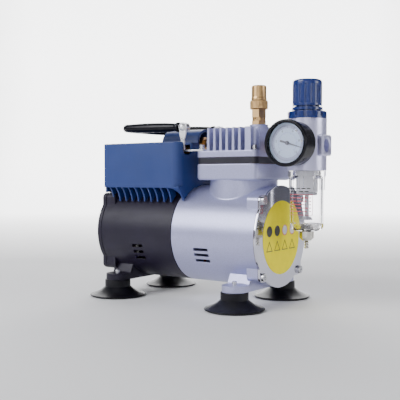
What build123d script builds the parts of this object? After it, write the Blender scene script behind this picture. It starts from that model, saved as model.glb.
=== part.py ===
from build123d import *
import os
from math import cos, radians, sin, sqrt

os.makedirs("parts", exist_ok=True)

# A small oil-less piston air compressor on four suction feet, in millimetres.
# X runs along the motor shaft towards the crankcase cover, Y across the machine and Z up.
# The origin is under the middle of the bounding box, on the surface the feet stand on.

# Fits
running = 0.05  # radial clearance of a pin or shaft that turns in its hole
gap = 0.3  # clearance between pieces that move past each other
seat = 0.1  # clearance between fixed pieces that only locate each other
hole_clearance = 0.3  # radial clearance of a bolt in its through hole

# Feet: suction cups under lugs on both housings
foot_pitch_x = 140.0
foot_pitch_y = 88.0
cup_r = 27.5
cup_rim_z = 1.3
cup_skirt_z = 9.5
cup_neck_r = 12.75
cup_height = 16.5
lug_r = 11.5
lug_thickness = 6.0
lug_block_y = 37.5
lug_block_height = 14.5
stud_r = 2.3
stud_proud = 3.6

# Filter regulator at the front end
port_to_port = 40.0
reg_from_seam = 119.2

# The two motor housings, which meet at the seam
body_r = 47.0
axis_z = 64.4
housing_wall = 3.5
rear_length = 89.5
crankcase_length = 91.0
seam_chamfer = 0.5
ear_half = 38.8
ear_corner = 5.0
ear_length = 11.5
cover_screw_half = 34.2
cover_screw_r = 1.9

# Cylinder and head
cyl_from_seam = 52.5
cyl_bore_r = 20.0
liner_wall = 2.5
neck_r = 32.5
head_size = 67.0
head_corner = 6.0
flange_z = 116.4
flange_thickness = 15.1
flange_fillet = 2.6
gasket_thickness = 0.3
valve_plate_thickness = 5.8
head_base_thickness = 6.0
fin_height = 21.0
fin_pitch = 6.85
fin_count = 6
fin_base = 3.0
fin_top = 2.1
head_bolt_pitch = 58.0
head_bolt_r = 2.0

# Crank train
stroke = 14.0
shaft_rear_r = 4.0
shaft_mid_r = 6.0
shaft_front_r = 5.0
crank_pin_r = 5.0
wrist_pin_r = 4.0
wrist_pin_drop = 14.0  # piston crown to wrist pin axis
piston_height = 24.0
deck_clearance = 0.5

# Cowl over the motor
cowl_length = rear_length + 6.0
cowl_width = 90.0
cowl_z = 109.0
cowl_top_z = 152.9
cowl_wall = 2.2
cowl_from_seam = 8.0  # front wall, ahead of the seam
cowl_motor_r = 48.6
arch_r = 13.6
arch_length = 45.0
rib_count = 10
rib_pitch = 8.15
rib_thickness = 1.7

# Handle
handle_pitch = 60.0
handle_reach = 78.0
handle_r = 4.0
handle_bulge = 0.8
handle_corner = 9.0
handle_tilt = 1.3
pivot_from_seam = 3.8
pivot_z = 167.3
pivot_r = 2.2

# Relief valve on the head
relief_from_seam = 68.9
relief_boss_r = 8.75
relief_boss_z = 168.4

# Gauge on the regulator
gauge_r = 20.4
gauge_depth = 21.0
gauge_front_y = -42.0
gauge_z = 148.5
pointer_angle = -17.0

# Places along X, worked out so that the bounding box is centred on the origin
seam_x = (cup_r + foot_pitch_x / 2 - reg_from_seam - port_to_port / 2) / 2
rear_x = seam_x - rear_length
front_x = seam_x + crankcase_length
cyl_x = seam_x + cyl_from_seam
reg_x = seam_x + reg_from_seam
pivot_x = seam_x + pivot_from_seam
relief_x = seam_x + relief_from_seam
foot_y = foot_pitch_y / 2
bore_r = body_r - housing_wall
liner_r = cyl_bore_r + liner_wall
head_half = head_size / 2
bolt_half = head_bolt_pitch / 2
flange_top = flange_z + flange_thickness
valve_plate_z = flange_top + gasket_thickness
valve_plate_top = valve_plate_z + valve_plate_thickness
head_z = valve_plate_top + gasket_thickness
head_base_top = head_z + head_base_thickness
fin_top_z = head_base_top + fin_height
throw = stroke / 2
crank_pin_z = axis_z + throw
piston_top = flange_top - deck_clearance
wrist_pin_z = piston_top - wrist_pin_drop
bottom = (Align.CENTER, Align.CENTER, Align.MIN)


def across(x, y=0.0, z=axis_z):
    """A plane normal to the motor shaft: its own X is the machine's Y, its own Y is up."""
    return Plane(origin=(x, y, z), x_dir=(0, 1, 0), z_dir=(1, 0, 0))


def facing_side(x, y, z):
    """A plane that faces -Y: its own X is the machine's X, its own Y is up."""
    return Plane(origin=(x, y, z), x_dir=(1, 0, 0), z_dir=(0, -1, 0))


def rod_x(radius, x0, x1, y=0.0, z=axis_z, mode=Mode.ADD):
    """A cylinder along X in the part being built."""
    with Locations(Location((x0, y, z), (0, 90, 0))):
        Cylinder(radius, x1 - x0, align=bottom, mode=mode)


def rod_y(radius, y0, y1, x, z, mode=Mode.ADD):
    """A cylinder along Y in the part being built."""
    with Locations(Location((x, y0, z), (-90, 0, 0))):
        Cylinder(radius, y1 - y0, align=bottom, mode=mode)


def rod_z(radius, z0, z1, x, y=0.0, mode=Mode.ADD):
    """A cylinder along Z in the part being built."""
    with Locations((x, y, z0)):
        Cylinder(radius, z1 - z0, align=bottom, mode=mode)


def block(x0, x1, y0, y1, z0, z1, mode=Mode.ADD):
    """A box between two corners in the part being built."""
    with Locations(((x0 + x1) / 2, (y0 + y1) / 2, (z0 + z1) / 2)):
        Box(x1 - x0, y1 - y0, z1 - z0, mode=mode)


def turned(points, x, y=0.0, mode=Mode.ADD):
    """Revolve a closed outline of (radius, height) points about a vertical axis."""
    plane = Plane(origin=(x, y, 0), x_dir=(1, 0, 0), z_dir=(0, -1, 0))
    with BuildSketch(plane) as outline:
        with BuildLine():
            Polyline(*points, close=True)
        make_face()
    revolve(outline.sketch, axis=Axis((x, y, 0), (0, 0, 1)), mode=mode)


def hex_z(flats, z0, z1, x, y=0.0, mode=Mode.ADD):
    """A hexagonal prism along Z, given across its flats."""
    with BuildSketch(Plane(origin=(x, y, z0))) as outline:
        RegularPolygon(flats / 2, 6, major_radius=False)
    extrude(outline.sketch, amount=z1 - z0, mode=mode)


def hex_x(flats, x0, x1, y, z):
    """A hexagonal prism along X, given across its flats."""
    with BuildSketch(across(x0, y, z)) as outline:
        RegularPolygon(flats / 2, 6, major_radius=False)
    extrude(outline.sketch, amount=x1 - x0)


def ear_prism(x0, length, radius, half, corner, mode=Mode.ADD):
    """The end section of a housing: a circle joined to a rounded square with four ears."""
    with BuildSketch(across(x0)) as outline:
        Circle(radius)
        RectangleRounded(2 * half, 2 * half, corner)
    extrude(outline.sketch, amount=length, mode=mode)


def corner_places(half):
    """The four corners of a square about the shaft axis, as (y, z)."""
    return [(y, axis_z + z) for y in (-half, half) for z in (-half, half)]


def foot_lugs(x):
    """Both lugs of a foot pair: a pad over each cup and a block that joins it to the housing."""
    top = cup_height + lug_thickness
    for side in (-1, 1):
        with BuildSketch(Plane.XY.offset(cup_height)) as pad:
            with Locations((x, side * foot_y)):
                Circle(lug_r)
            with Locations((x, side * foot_y / 2)):
                Rectangle(2 * lug_r, foot_y)
        extrude(pad.sketch, amount=lug_thickness)
        with BuildSketch(across(x - lug_r, 0, 0)) as shoulder:
            with BuildLine():
                Polyline(
                    (0, cup_height),
                    (side * lug_block_y, cup_height),
                    (side * lug_block_y, top + 1),
                    (side * (lug_block_y - 4), cup_height + lug_block_height),
                    (0, cup_height + lug_block_height),
                    close=True,
                )
            make_face()
        extrude(shoulder.sketch, amount=2 * lug_r)


def foot_stud_holes(x):
    """The tapped holes of a lug pair."""
    for side in (-1, 1):
        rod_z(stud_r, cup_height - 1, cup_height + lug_thickness + 1, x, side * foot_y, Mode.SUBTRACT)


def vent_slots(x, length, height, heights):
    """Cooling slots through both sides of a housing."""
    for z in heights:
        for side in (-1, 1):
            with Locations((x, side * (bore_r - 1), z)):
                Box(length, 20, height, mode=Mode.SUBTRACT)


def pan_head_screw(x_face, direction, y, z, head_r, head_height, shank_length, shank_r):
    """A cross-recess pan head screw whose head sits on a face normal to X."""
    head_end = x_face + direction * head_height
    low, high = sorted((x_face, head_end))
    rod_x(head_r, low, high, y, z)
    low, high = sorted((x_face, x_face - direction * shank_length))
    rod_x(shank_r, low, high, y, z)
    slot_depth = head_height * 0.5
    low, high = sorted((head_end, head_end - direction * slot_depth))
    block(low, high, y - head_r * 0.6, y + head_r * 0.6, z - 0.45, z + 0.45, Mode.SUBTRACT)
    block(low, high, y - 0.45, y + 0.45, z - head_r * 0.6, z + head_r * 0.6, Mode.SUBTRACT)


def ball_bearing(x0, width, inner_r, outer_r, z):
    """A ball bearing along X: two grooved rings and the balls between them."""
    pitch_r = (inner_r + outer_r) / 2
    ball_r = (outer_r - inner_r) * 0.26
    shoulder = ball_r * 0.45
    middle = x0 + width / 2
    with Locations(Location((middle, 0, z), (0, 90, 0))):
        Cylinder(outer_r, width)
        Cylinder(pitch_r + shoulder, width, mode=Mode.SUBTRACT)
        Cylinder(pitch_r - shoulder, width)
        Cylinder(inner_r, width, mode=Mode.SUBTRACT)
        Torus(pitch_r, ball_r + running, mode=Mode.SUBTRACT)
        with PolarLocations(pitch_r, 8):
            Sphere(ball_r)


# ---------------------------------------------------------------- motor housings
rear_bearing_width = 7.0
rear_bearing_r = 11.0
rear_bearing_x = seam_x - 70.0
front_bearing_width = 8.0
front_bearing_r = 13.0
front_bearing_x = seam_x + 12.0
cowl_rear_x = seam_x + cowl_from_seam - cowl_length
cowl_screw_y = 35.5
cowl_screw_z = 116.0
cowl_screw_r = 1.3
post_x = cowl_rear_x + cowl_wall + seat
post_thickness = 4.4

with BuildPart() as rear_housing:
    rod_x(body_r, rear_x, seam_x)
    chamfer(rear_housing.edges().filter_by(GeomType.CIRCLE).sort_by(Axis.X)[-1], seam_chamfer)
    ear_prism(rear_x, ear_length, body_r, ear_half, ear_corner)
    foot_lugs(seam_x - foot_pitch_x / 2)
    rod_x(bore_r, rear_x, seam_x, mode=Mode.SUBTRACT)
    foot_stud_holes(seam_x - foot_pitch_x / 2)
    # spider that carries the rear bearing, with air holes round it
    with BuildSketch(across(rear_bearing_x - 2)):
        Circle(bore_r + 1)
        with PolarLocations(28, 6):
            Circle(10, mode=Mode.SUBTRACT)
    extrude(amount=5)
    rod_x(rear_bearing_r + 4, rear_bearing_x - 3, rear_bearing_x + rear_bearing_width)
    rod_x(rear_bearing_r, rear_bearing_x, rear_bearing_x + rear_bearing_width, mode=Mode.SUBTRACT)
    rod_x(shaft_rear_r + 1, rear_bearing_x - 3, rear_bearing_x, mode=Mode.SUBTRACT)
    vent_slots(seam_x - 43.2, 12.8, 3.0, (51.6, 45.6, 39.6))
    for y, z in corner_places(cover_screw_half):
        rod_x(cover_screw_r, rear_x, rear_x + 10, y, z, Mode.SUBTRACT)
    # posts that the cowl is screwed to
    for side in (-1, 1):
        y = side * cowl_screw_y
        block(post_x, post_x + post_thickness, y - 2.8, y + 2.8, axis_z + ear_half - 2.5, cowl_screw_z + 4)
        rod_x(cowl_screw_r, post_x, post_x + post_thickness, y, cowl_screw_z, Mode.SUBTRACT)

with BuildPart() as flange_blank:
    with BuildSketch(Plane.XY.offset(flange_z)):
        with Locations((cyl_x, 0)):
            RectangleRounded(head_size, head_size, head_corner)
    extrude(amount=flange_thickness)
    fillet(flange_blank.edges().group_by(Axis.Z)[0], flange_fillet)
    fillet(flange_blank.edges().group_by(Axis.Z)[-1], 0.8)

spigot_z = 97.0
chamber_x = seam_x + 20.0
with BuildPart() as crankcase:
    rod_x(body_r, seam_x, front_x)
    chamfer(crankcase.edges().filter_by(GeomType.CIRCLE).sort_by(Axis.X)[0], seam_chamfer)
    rod_z(neck_r, axis_z, flange_z + 1, cyl_x)
    neck_root = crankcase.edges().filter_by(GeomType.BSPLINE)
    fillet(neck_root, 2.5)
    add(flange_blank.part)
    ear_prism(front_x - ear_length, ear_length, body_r, ear_half, ear_corner)
    foot_lugs(seam_x + foot_pitch_x / 2)
    rod_x(bore_r, seam_x, seam_x + 15, mode=Mode.SUBTRACT)
    rod_x(bore_r, chamber_x, front_x, mode=Mode.SUBTRACT)
    foot_stud_holes(seam_x + foot_pitch_x / 2)
    # hub of the front bearing, in a web with air holes
    rod_x(front_bearing_r + 4, front_bearing_x, chamber_x + 3)
    rod_x(front_bearing_r, front_bearing_x, chamber_x, mode=Mode.SUBTRACT)
    rod_x(shaft_mid_r + 1, chamber_x, chamber_x + 3, mode=Mode.SUBTRACT)
    with Locations(Location((seam_x + 10, 0, axis_z), (0, 90, 0))):
        with PolarLocations(30, 6, start_angle=30):
            Cylinder(6, 12, align=bottom, mode=Mode.SUBTRACT)
    # spigot inside the chamber, bored through for the liner
    rod_z(liner_r + 5.5, spigot_z, axis_z + body_r, cyl_x)
    rod_z(liner_r, spigot_z - 6, flange_top, cyl_x, mode=Mode.SUBTRACT)
    vent_slots(seam_x + 33.4, 16.2, 2.7, (52.2, 47.0, 41.6))
    with Locations((cyl_x, 0, flange_top)):
        with GridLocations(head_bolt_pitch, head_bolt_pitch, 2, 2):
            Cylinder(head_bolt_r, 24, mode=Mode.SUBTRACT)
    for y, z in corner_places(cover_screw_half):
        rod_x(cover_screw_r, front_x - 10, front_x, y, z, Mode.SUBTRACT)

# ---------------------------------------------------------------- end covers
rear_cover_thickness = 6.6
rear_groove = 0.8
with BuildPart() as rear_cover:
    ear_prism(rear_x - rear_groove, rear_groove, body_r - 1, ear_half - 1, ear_corner - 1)
    ear_prism(rear_x - rear_cover_thickness, rear_cover_thickness - rear_groove, body_r, ear_half, ear_corner)
    fillet(rear_cover.edges().group_by(Axis.X)[0], 2.2)
    rod_x(bore_r - 2, rear_x - rear_cover_thickness + 2.2, rear_x, mode=Mode.SUBTRACT)
    # air inlets in three rings
    with Locations(Location((rear_x - rear_cover_thickness - 1, 0, axis_z), (0, 90, 0))):
        for ring_r, holes in ((14, 10), (22, 16), (30, 22)):
            with PolarLocations(ring_r, holes):
                Cylinder(2.4, 5, align=bottom, mode=Mode.SUBTRACT)
    for y, z in corner_places(cover_screw_half):
        rod_x(cover_screw_r, rear_x - rear_cover_thickness, rear_x, y, z, Mode.SUBTRACT)
        rod_x(4.0, rear_x - rear_cover_thickness, rear_x - 2.5, y, z, Mode.SUBTRACT)

front_gasket_thickness = 0.6
front_plate_x = front_x + front_gasket_thickness
front_plate_thickness = 1.8
with BuildPart() as front_cover:
    ear_prism(front_plate_x, front_plate_thickness, body_r + 0.4, ear_half + 0.3, ear_corner + 0.5)
    fillet(front_cover.edges().group_by(Axis.X)[-1], 0.5)
    for y, z in corner_places(cover_screw_half):
        rod_x(cover_screw_r, front_plate_x, front_plate_x + front_plate_thickness, y, z, Mode.SUBTRACT)

front_face_x = front_plate_x + front_plate_thickness

# ---------------------------------------------------------------- feet
with BuildPart() as cup_blank:
    with BuildSketch(Plane.XZ) as cup_outline:
        with BuildLine():
            Line((0, cup_height), (cup_neck_r - 1, cup_height))
            JernArc((cup_neck_r - 1, cup_height), (1, 0), 1, -90)
            Line((cup_neck_r, cup_height - 1), (cup_neck_r, cup_skirt_z))
            ThreePointArc((cup_neck_r, cup_skirt_z), (19.2, 4.9), (cup_r - 0.4, cup_rim_z + 0.6))
            ThreePointArc((cup_r - 0.4, cup_rim_z + 0.6), (cup_r, cup_rim_z), (cup_r - 0.3, cup_rim_z - 0.6))
            Line((cup_r - 0.3, cup_rim_z - 0.6), (cup_r - 1.4, 0))
            Line((cup_r - 1.4, 0), (cup_r - 2.4, 0))
            ThreePointArc((cup_r - 2.4, 0), (17, 1.6), (8, 4.5))
            Line((8, 4.5), (0, 4.5))
            Line((0, 4.5), (0, cup_height))
        make_face()
    revolve(axis=Axis.Z)

with BuildPart() as suction_feet:
    with Locations((seam_x, 0, 0)):
        with GridLocations(foot_pitch_x, foot_pitch_y, 2, 2):
            add(cup_blank.part)
            with Locations((0, 0, cup_height)):
                Cylinder(stud_r, 16, mode=Mode.SUBTRACT)

with BuildPart() as foot_studs:
    with Locations((seam_x, 0, cup_height - 8)):
        with GridLocations(foot_pitch_x, foot_pitch_y, 2, 2):
            Cylinder(stud_r, 8 + lug_thickness + stud_proud, align=bottom)
    chamfer(foot_studs.edges().filter_by(GeomType.CIRCLE).group_by(Axis.Z)[-1], 0.5)

# ---------------------------------------------------------------- motor
stator_x = seam_x - 33.0
stator_length = 30.0
rotor_r = 22.5
air_gap = 0.5
slot_count = 24
slot_inner_r = 26.5
slot_outer_r = 36.0
slot_width = 3.8
with BuildPart() as stator_core:
    with BuildSketch(across(stator_x)):
        Circle(bore_r - seat)
        Circle(rotor_r + air_gap, mode=Mode.SUBTRACT)
        with PolarLocations((slot_inner_r + slot_outer_r) / 2, slot_count):
            Rectangle(slot_outer_r - slot_inner_r, slot_width, mode=Mode.SUBTRACT)
        with PolarLocations(slot_inner_r - 1.5, slot_count):
            Rectangle(5, 1.4, mode=Mode.SUBTRACT)
    extrude(amount=stator_length)

end_turn = 10.0
with BuildPart() as windings:
    with BuildSketch(across(stator_x - 0.5)):
        with PolarLocations((slot_inner_r + slot_outer_r) / 2, slot_count):
            Rectangle(slot_outer_r - slot_inner_r - 0.8, slot_width - 0.8)
    extrude(amount=stator_length + 1)
    for x in (stator_x - end_turn, stator_x + stator_length + 0.4):
        with BuildSketch(across(x)):
            Circle(slot_outer_r + 2)
            Circle(slot_inner_r - 1, mode=Mode.SUBTRACT)
        extrude(amount=end_turn - 0.4)
    fillet(windings.edges().filter_by(GeomType.CIRCLE).group_by(Axis.X)[0], 3)
    fillet(windings.edges().filter_by(GeomType.CIRCLE).group_by(Axis.X)[-1], 3)

with BuildPart() as rotor:
    rod_x(rotor_r, stator_x, stator_x + stator_length)
    rod_x(rotor_r - 2.5, stator_x - 4, stator_x + stator_length + 4)
    with Locations(Location((stator_x - 4, 0, axis_z), (0, 90, 0))):
        with PolarLocations(14, 8):
            Cylinder(2.5, stator_length + 8, align=bottom, mode=Mode.SUBTRACT)
    rod_x(shaft_mid_r, stator_x - 4, stator_x + stator_length + 4, mode=Mode.SUBTRACT)

crank_web_x = seam_x + 36.0
crank_web_thickness = 8.0
crank_hub_x = seam_x + 26.0
shaft_rear_x = seam_x - 86.0
with BuildPart() as motor_shaft:
    rod_x(shaft_rear_r - running, shaft_rear_x, rear_bearing_x + rear_bearing_width + 1)
    rod_x(shaft_mid_r, rear_bearing_x + rear_bearing_width + 1, front_bearing_x - 1)
    rod_x(shaft_front_r - running, front_bearing_x - 1, crank_web_x + 2)
    chamfer(motor_shaft.edges().filter_by(GeomType.CIRCLE).sort_by(Axis.X)[0], 0.6)

with BuildPart() as motor_bearings:
    ball_bearing(rear_bearing_x, rear_bearing_width, shaft_rear_r, rear_bearing_r, axis_z)
    ball_bearing(front_bearing_x, front_bearing_width, shaft_front_r, front_bearing_r, axis_z)

fan_r = 38.0
fan_x = seam_x - 86.0
fan_width = 11.0
with BuildPart() as cooling_fan:
    rod_x(10, fan_x, fan_x + fan_width)
    with Locations(Location((fan_x + fan_width / 2, 0, axis_z), (0, 90, 0))):
        with PolarLocations((fan_r + 8) / 2, 9):
            Box(fan_r - 8, 1.6, 13, rotation=(38, 0, 0))
    rod_x(fan_r + 5, fan_x - 6, fan_x, mode=Mode.SUBTRACT)
    rod_x(fan_r + 5, fan_x + fan_width, fan_x + fan_width + 6, mode=Mode.SUBTRACT)
    rod_x(shaft_rear_r - running, fan_x, fan_x + fan_width, mode=Mode.SUBTRACT)

# ---------------------------------------------------------------- crank train
with BuildPart() as crank_web:
    rod_x(11, crank_hub_x, crank_web_x)
    with BuildSketch(across(crank_web_x)):
        Circle(26)
        with Locations((0, 15)):
            Rectangle(60, 34, mode=Mode.SUBTRACT)
        Circle(11)
        with Locations((0, throw)):
            Circle(9)
    extrude(amount=crank_web_thickness)
    rod_x(shaft_front_r - running, crank_hub_x, crank_web_x + 2, mode=Mode.SUBTRACT)
    rod_x(3, crank_web_x + 3, crank_web_x + crank_web_thickness, 0, crank_pin_z, Mode.SUBTRACT)

rod_width = 10.0
rod_x0 = cyl_x - rod_width / 2
pin_start_x = crank_web_x + crank_web_thickness + gap
with BuildPart() as crank_pin:
    rod_x(crank_pin_r, pin_start_x, rod_x0 + rod_width + 1, 0, crank_pin_z)
    rod_x(crank_pin_r + 2, rod_x0 + rod_width, rod_x0 + rod_width + 3, 0, crank_pin_z)

big_bearing_r = 13.0
with BuildPart() as big_end_bearing:
    ball_bearing(rod_x0 + 1, rod_width - 2, crank_pin_r, big_bearing_r, crank_pin_z)

small_end_r = 7.0
with BuildPart() as connecting_rod:
    rod_x(big_bearing_r + 3.5, rod_x0, rod_x0 + rod_width, 0, crank_pin_z)
    rod_x(small_end_r, rod_x0 - 1, rod_x0 + rod_width + 1, 0, wrist_pin_z)
    block(rod_x0 + 2, rod_x0 + rod_width - 2, -5.5, 5.5, crank_pin_z + 8, wrist_pin_z)
    for side in (-1, 1):
        y = side * 5.5
        block(rod_x0 + 0.5, rod_x0 + rod_width - 0.5, y - 1.2, y + 1.2, crank_pin_z + 8, wrist_pin_z - 2)
    rod_x(big_bearing_r, rod_x0, rod_x0 + rod_width, 0, crank_pin_z, Mode.SUBTRACT)
    rod_x(wrist_pin_r + running, rod_x0 - 1, rod_x0 + rod_width + 1, 0, wrist_pin_z, Mode.SUBTRACT)

piston_r = cyl_bore_r - gap
with BuildPart() as piston:
    rod_z(piston_r, piston_top - piston_height, piston_top, cyl_x)
    rod_z(piston_r - 3, piston_top - piston_height, piston_top - 4.5, cyl_x, mode=Mode.SUBTRACT)
    for side in (-1, 1):
        inner, outer = sorted((cyl_x + side * 7.5, cyl_x + side * (piston_r - 1.5)))
        rod_x(7, inner, outer, 0, wrist_pin_z)
    rod_x(wrist_pin_r, cyl_x - piston_r, cyl_x + piston_r, 0, wrist_pin_z, Mode.SUBTRACT)
    rod_z(piston_r + 1, piston_top - 4, piston_top - 2, cyl_x, mode=Mode.SUBTRACT)
    rod_z(piston_r - 1.8, piston_top - 4.2, piston_top - 1.8, cyl_x)

with BuildPart() as piston_seal:
    rod_z(cyl_bore_r - 0.1, piston_top - 3.9, piston_top - 2.1, cyl_x)
    rod_z(piston_r - 1.7, piston_top - 3.9, piston_top - 2.1, cyl_x, mode=Mode.SUBTRACT)

with BuildPart() as wrist_pin:
    rod_x(wrist_pin_r, cyl_x - piston_r + 1.5, cyl_x + piston_r - 1.5, 0, wrist_pin_z)
    rod_x(2, cyl_x - piston_r + 1.5, cyl_x + piston_r - 1.5, 0, wrist_pin_z, Mode.SUBTRACT)

with BuildPart() as cylinder_liner:
    rod_z(liner_r, spigot_z, flange_top, cyl_x)
    rod_z(cyl_bore_r, spigot_z, flange_top, cyl_x, mode=Mode.SUBTRACT)
    chamfer(cylinder_liner.edges().filter_by(GeomType.CIRCLE).group_by(Axis.Z)[0].sort_by(SortBy.LENGTH)[0], 1)

# ---------------------------------------------------------------- valve plate and head
port_offset = 11.0
port_r = 2.4
reed_thickness = 0.4
with BuildPart() as valve_plate:
    with BuildSketch(Plane.XY.offset(valve_plate_z)):
        with Locations((cyl_x, 0)):
            RectangleRounded(head_size - 1, head_size - 1, head_corner)
    extrude(amount=valve_plate_thickness)
    chamfer(valve_plate.edges().filter_by(Plane.XY), 0.4)
    with Locations((cyl_x, 0, valve_plate_z)):
        with GridLocations(head_bolt_pitch, head_bolt_pitch, 2, 2):
            Cylinder(head_bolt_r + hole_clearance, 20, mode=Mode.SUBTRACT)
        with GridLocations(2 * port_offset, 9, 2, 3):
            Cylinder(port_r, 20, mode=Mode.SUBTRACT)
    # the inlet reed lies in a recess below, the delivery reed in one above
    block(cyl_x - port_offset - 5, cyl_x - port_offset + 5, -17, 17,
          valve_plate_z, valve_plate_z + 0.6, Mode.SUBTRACT)
    block(cyl_x + port_offset - 5, cyl_x + port_offset + 5, -17, 17,
          valve_plate_top - 1.2, valve_plate_top, Mode.SUBTRACT)

with BuildPart() as reed_valves:
    reed_spans = (
        (cyl_x - port_offset, valve_plate_z + 0.6 - reed_thickness),
        (cyl_x + port_offset, valve_plate_top - 1.2),
    )
    for x, z in reed_spans:
        with BuildSketch(Plane.XY.offset(z)):
            with Locations((x, 0)):
                RectangleRounded(8, 32, 3)
        extrude(amount=reed_thickness)

block_x = cyl_x + head_half - 12.2
first_fin_x = block_x - fin_pitch * fin_count - 0.5
outlet_z = 147.5
intake_z = 152.8
intake_boss_x = first_fin_x - 3.0
port_thread_r = 5.9
intake_thread_r = 4.5
intake_pipe_r = 4.0
with BuildPart() as cylinder_head:
    with BuildSketch(Plane.XY.offset(head_z)):
        with Locations((cyl_x, 0)):
            RectangleRounded(head_size, head_size, head_corner)
    extrude(amount=head_base_thickness)
    fillet(cylinder_head.edges().group_by(Axis.Z)[-1], 1.0)
    # drafted fins that run across the machine
    for i in range(fin_count):
        x = first_fin_x + i * fin_pitch
        with BuildSketch(facing_side(x, head_half - 0.4, 0)):
            with BuildLine():
                Polyline(
                    (0, head_base_top - 1),
                    (fin_base, head_base_top - 1),
                    ((fin_base + fin_top) / 2, fin_top_z),
                    ((fin_base - fin_top) / 2, fin_top_z),
                    close=True,
                )
            make_face()
        extrude(amount=head_size - 0.8)
    # solid block that holds the delivery port
    with BuildSketch(Plane.XY.offset(head_base_top - 1)):
        with Locations((cyl_x, 0)):
            RectangleRounded(head_size - 0.6, head_size - 0.6, head_corner)
        with Locations((block_x - 50, 0)):
            Rectangle(100, 100, mode=Mode.SUBTRACT)
    extrude(amount=fin_height + 1)
    rod_z(relief_boss_r, head_base_top - 1, relief_boss_z, relief_x)
    rod_x(7, intake_boss_x, first_fin_x + 8, 0, intake_z)
    block(intake_boss_x + 1, first_fin_x + 8, -6, 6, head_base_top - 1, intake_z)
    # bolt holes, the front pair deep in wrench pockets
    with Locations((cyl_x, 0, head_z)):
        with GridLocations(head_bolt_pitch, head_bolt_pitch, 2, 2):
            Cylinder(head_bolt_r + hole_clearance, 20, mode=Mode.SUBTRACT)
    for side in (-1, 1):
        rod_z(4.3, head_base_top, fin_top_z + 1, cyl_x + bolt_half, side * bolt_half, Mode.SUBTRACT)
    # gas passages: inlet and delivery pockets and their ports
    block(cyl_x - 21, cyl_x - 3, -17, 17, head_z, head_z + 4, Mode.SUBTRACT)
    block(cyl_x + 3, cyl_x + 20, -17, 17, head_z, head_z + 4, Mode.SUBTRACT)
    rod_z(3, head_z + 2, relief_boss_z, relief_x, mode=Mode.SUBTRACT)
    rod_z(5, relief_boss_z - 9, relief_boss_z, relief_x, mode=Mode.SUBTRACT)
    rod_x(port_thread_r, cyl_x + head_half - 10, cyl_x + head_half, 0, outlet_z, Mode.SUBTRACT)
    rod_x(3.5, relief_x, cyl_x + head_half - 9, 0, outlet_z, Mode.SUBTRACT)
    rod_z(2.6, head_z + 2, intake_z, first_fin_x + 5, mode=Mode.SUBTRACT)
    rod_x(intake_thread_r, intake_boss_x, first_fin_x + 6, 0, intake_z, Mode.SUBTRACT)

bracket_thickness = 1.5
bolt_head_r = 2.7
bolt_head_height = 4.4
with BuildPart() as head_bolts:
    for x_side in (-1, 1):
        under_head = head_base_top + (bracket_thickness if x_side < 0 else 0)
        for y_side in (-1, 1):
            x = cyl_x + x_side * bolt_half
            y = y_side * bolt_half
            rod_z(head_bolt_r, flange_top - 10, under_head, x, y)
            rod_z(bolt_head_r, under_head, under_head + bolt_head_height, x, y)
            hex_z(2.9, under_head + 2, under_head + bolt_head_height, x, y, Mode.SUBTRACT)

# ---------------------------------------------------------------- inlet filter in the cowl's arch
arch_x = seam_x + cowl_from_seam - arch_length
intake_pipe_end = seam_x - 6.0
with BuildPart() as intake_filter:
    rod_x(9.5, arch_x + 6, intake_pipe_end, 0, intake_z)
    fillet(intake_filter.edges().group_by(Axis.X)[0], 2)
    with Locations(Location((arch_x + 12, 0, intake_z), (0, 90, 0))):
        with PolarLocations(9.7, 12):
            Cylinder(1.0, 20, align=bottom, mode=Mode.SUBTRACT)
    rod_x(intake_pipe_r, intake_pipe_end - 6, intake_pipe_end, 0, intake_z, Mode.SUBTRACT)

# ---------------------------------------------------------------- cowl
cowl_front_x = seam_x + cowl_from_seam
cowl_half = cowl_width / 2
rib_curve = ((40.9, 103.2), (38.8, 95.6))  # middle and foot of a rib's outer edge, as (y, z)
corner_curve = ((41.0, 104.2), (36.6, 98.6))  # the same for the front corners
notch_y = 30.5
notch_width = 14.0
notch_z = 141.0
gland_y = 20.0
gland_z = 122.0
gland_r = 6.0
switch_y = -10.0
switch_z = 132.0


def skirt_web(x0, thickness, inner_y, curve):
    """Webs normal to X that hang below both sides of the cowl, down to the motor."""
    (middle_y, middle_z), (foot_edge_y, foot_edge_z) = curve
    for side in (-1, 1):
        with BuildSketch(across(x0, 0, 0)) as web:
            with BuildLine():
                Line((side * inner_y, cowl_z + 2), (side * cowl_half, cowl_z + 2))
                Line((side * cowl_half, cowl_z + 2), (side * cowl_half, cowl_z))
                ThreePointArc(
                    (side * cowl_half, cowl_z),
                    (side * middle_y, middle_z),
                    (side * foot_edge_y, foot_edge_z),
                )
                Line((side * foot_edge_y, foot_edge_z), (side * inner_y, 90))
                Line((side * inner_y, 90), (side * inner_y, cowl_z + 2))
            make_face()
            with Locations((0, axis_z)):
                Circle(cowl_motor_r, mode=Mode.SUBTRACT)
        extrude(web.sketch, amount=thickness)


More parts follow.
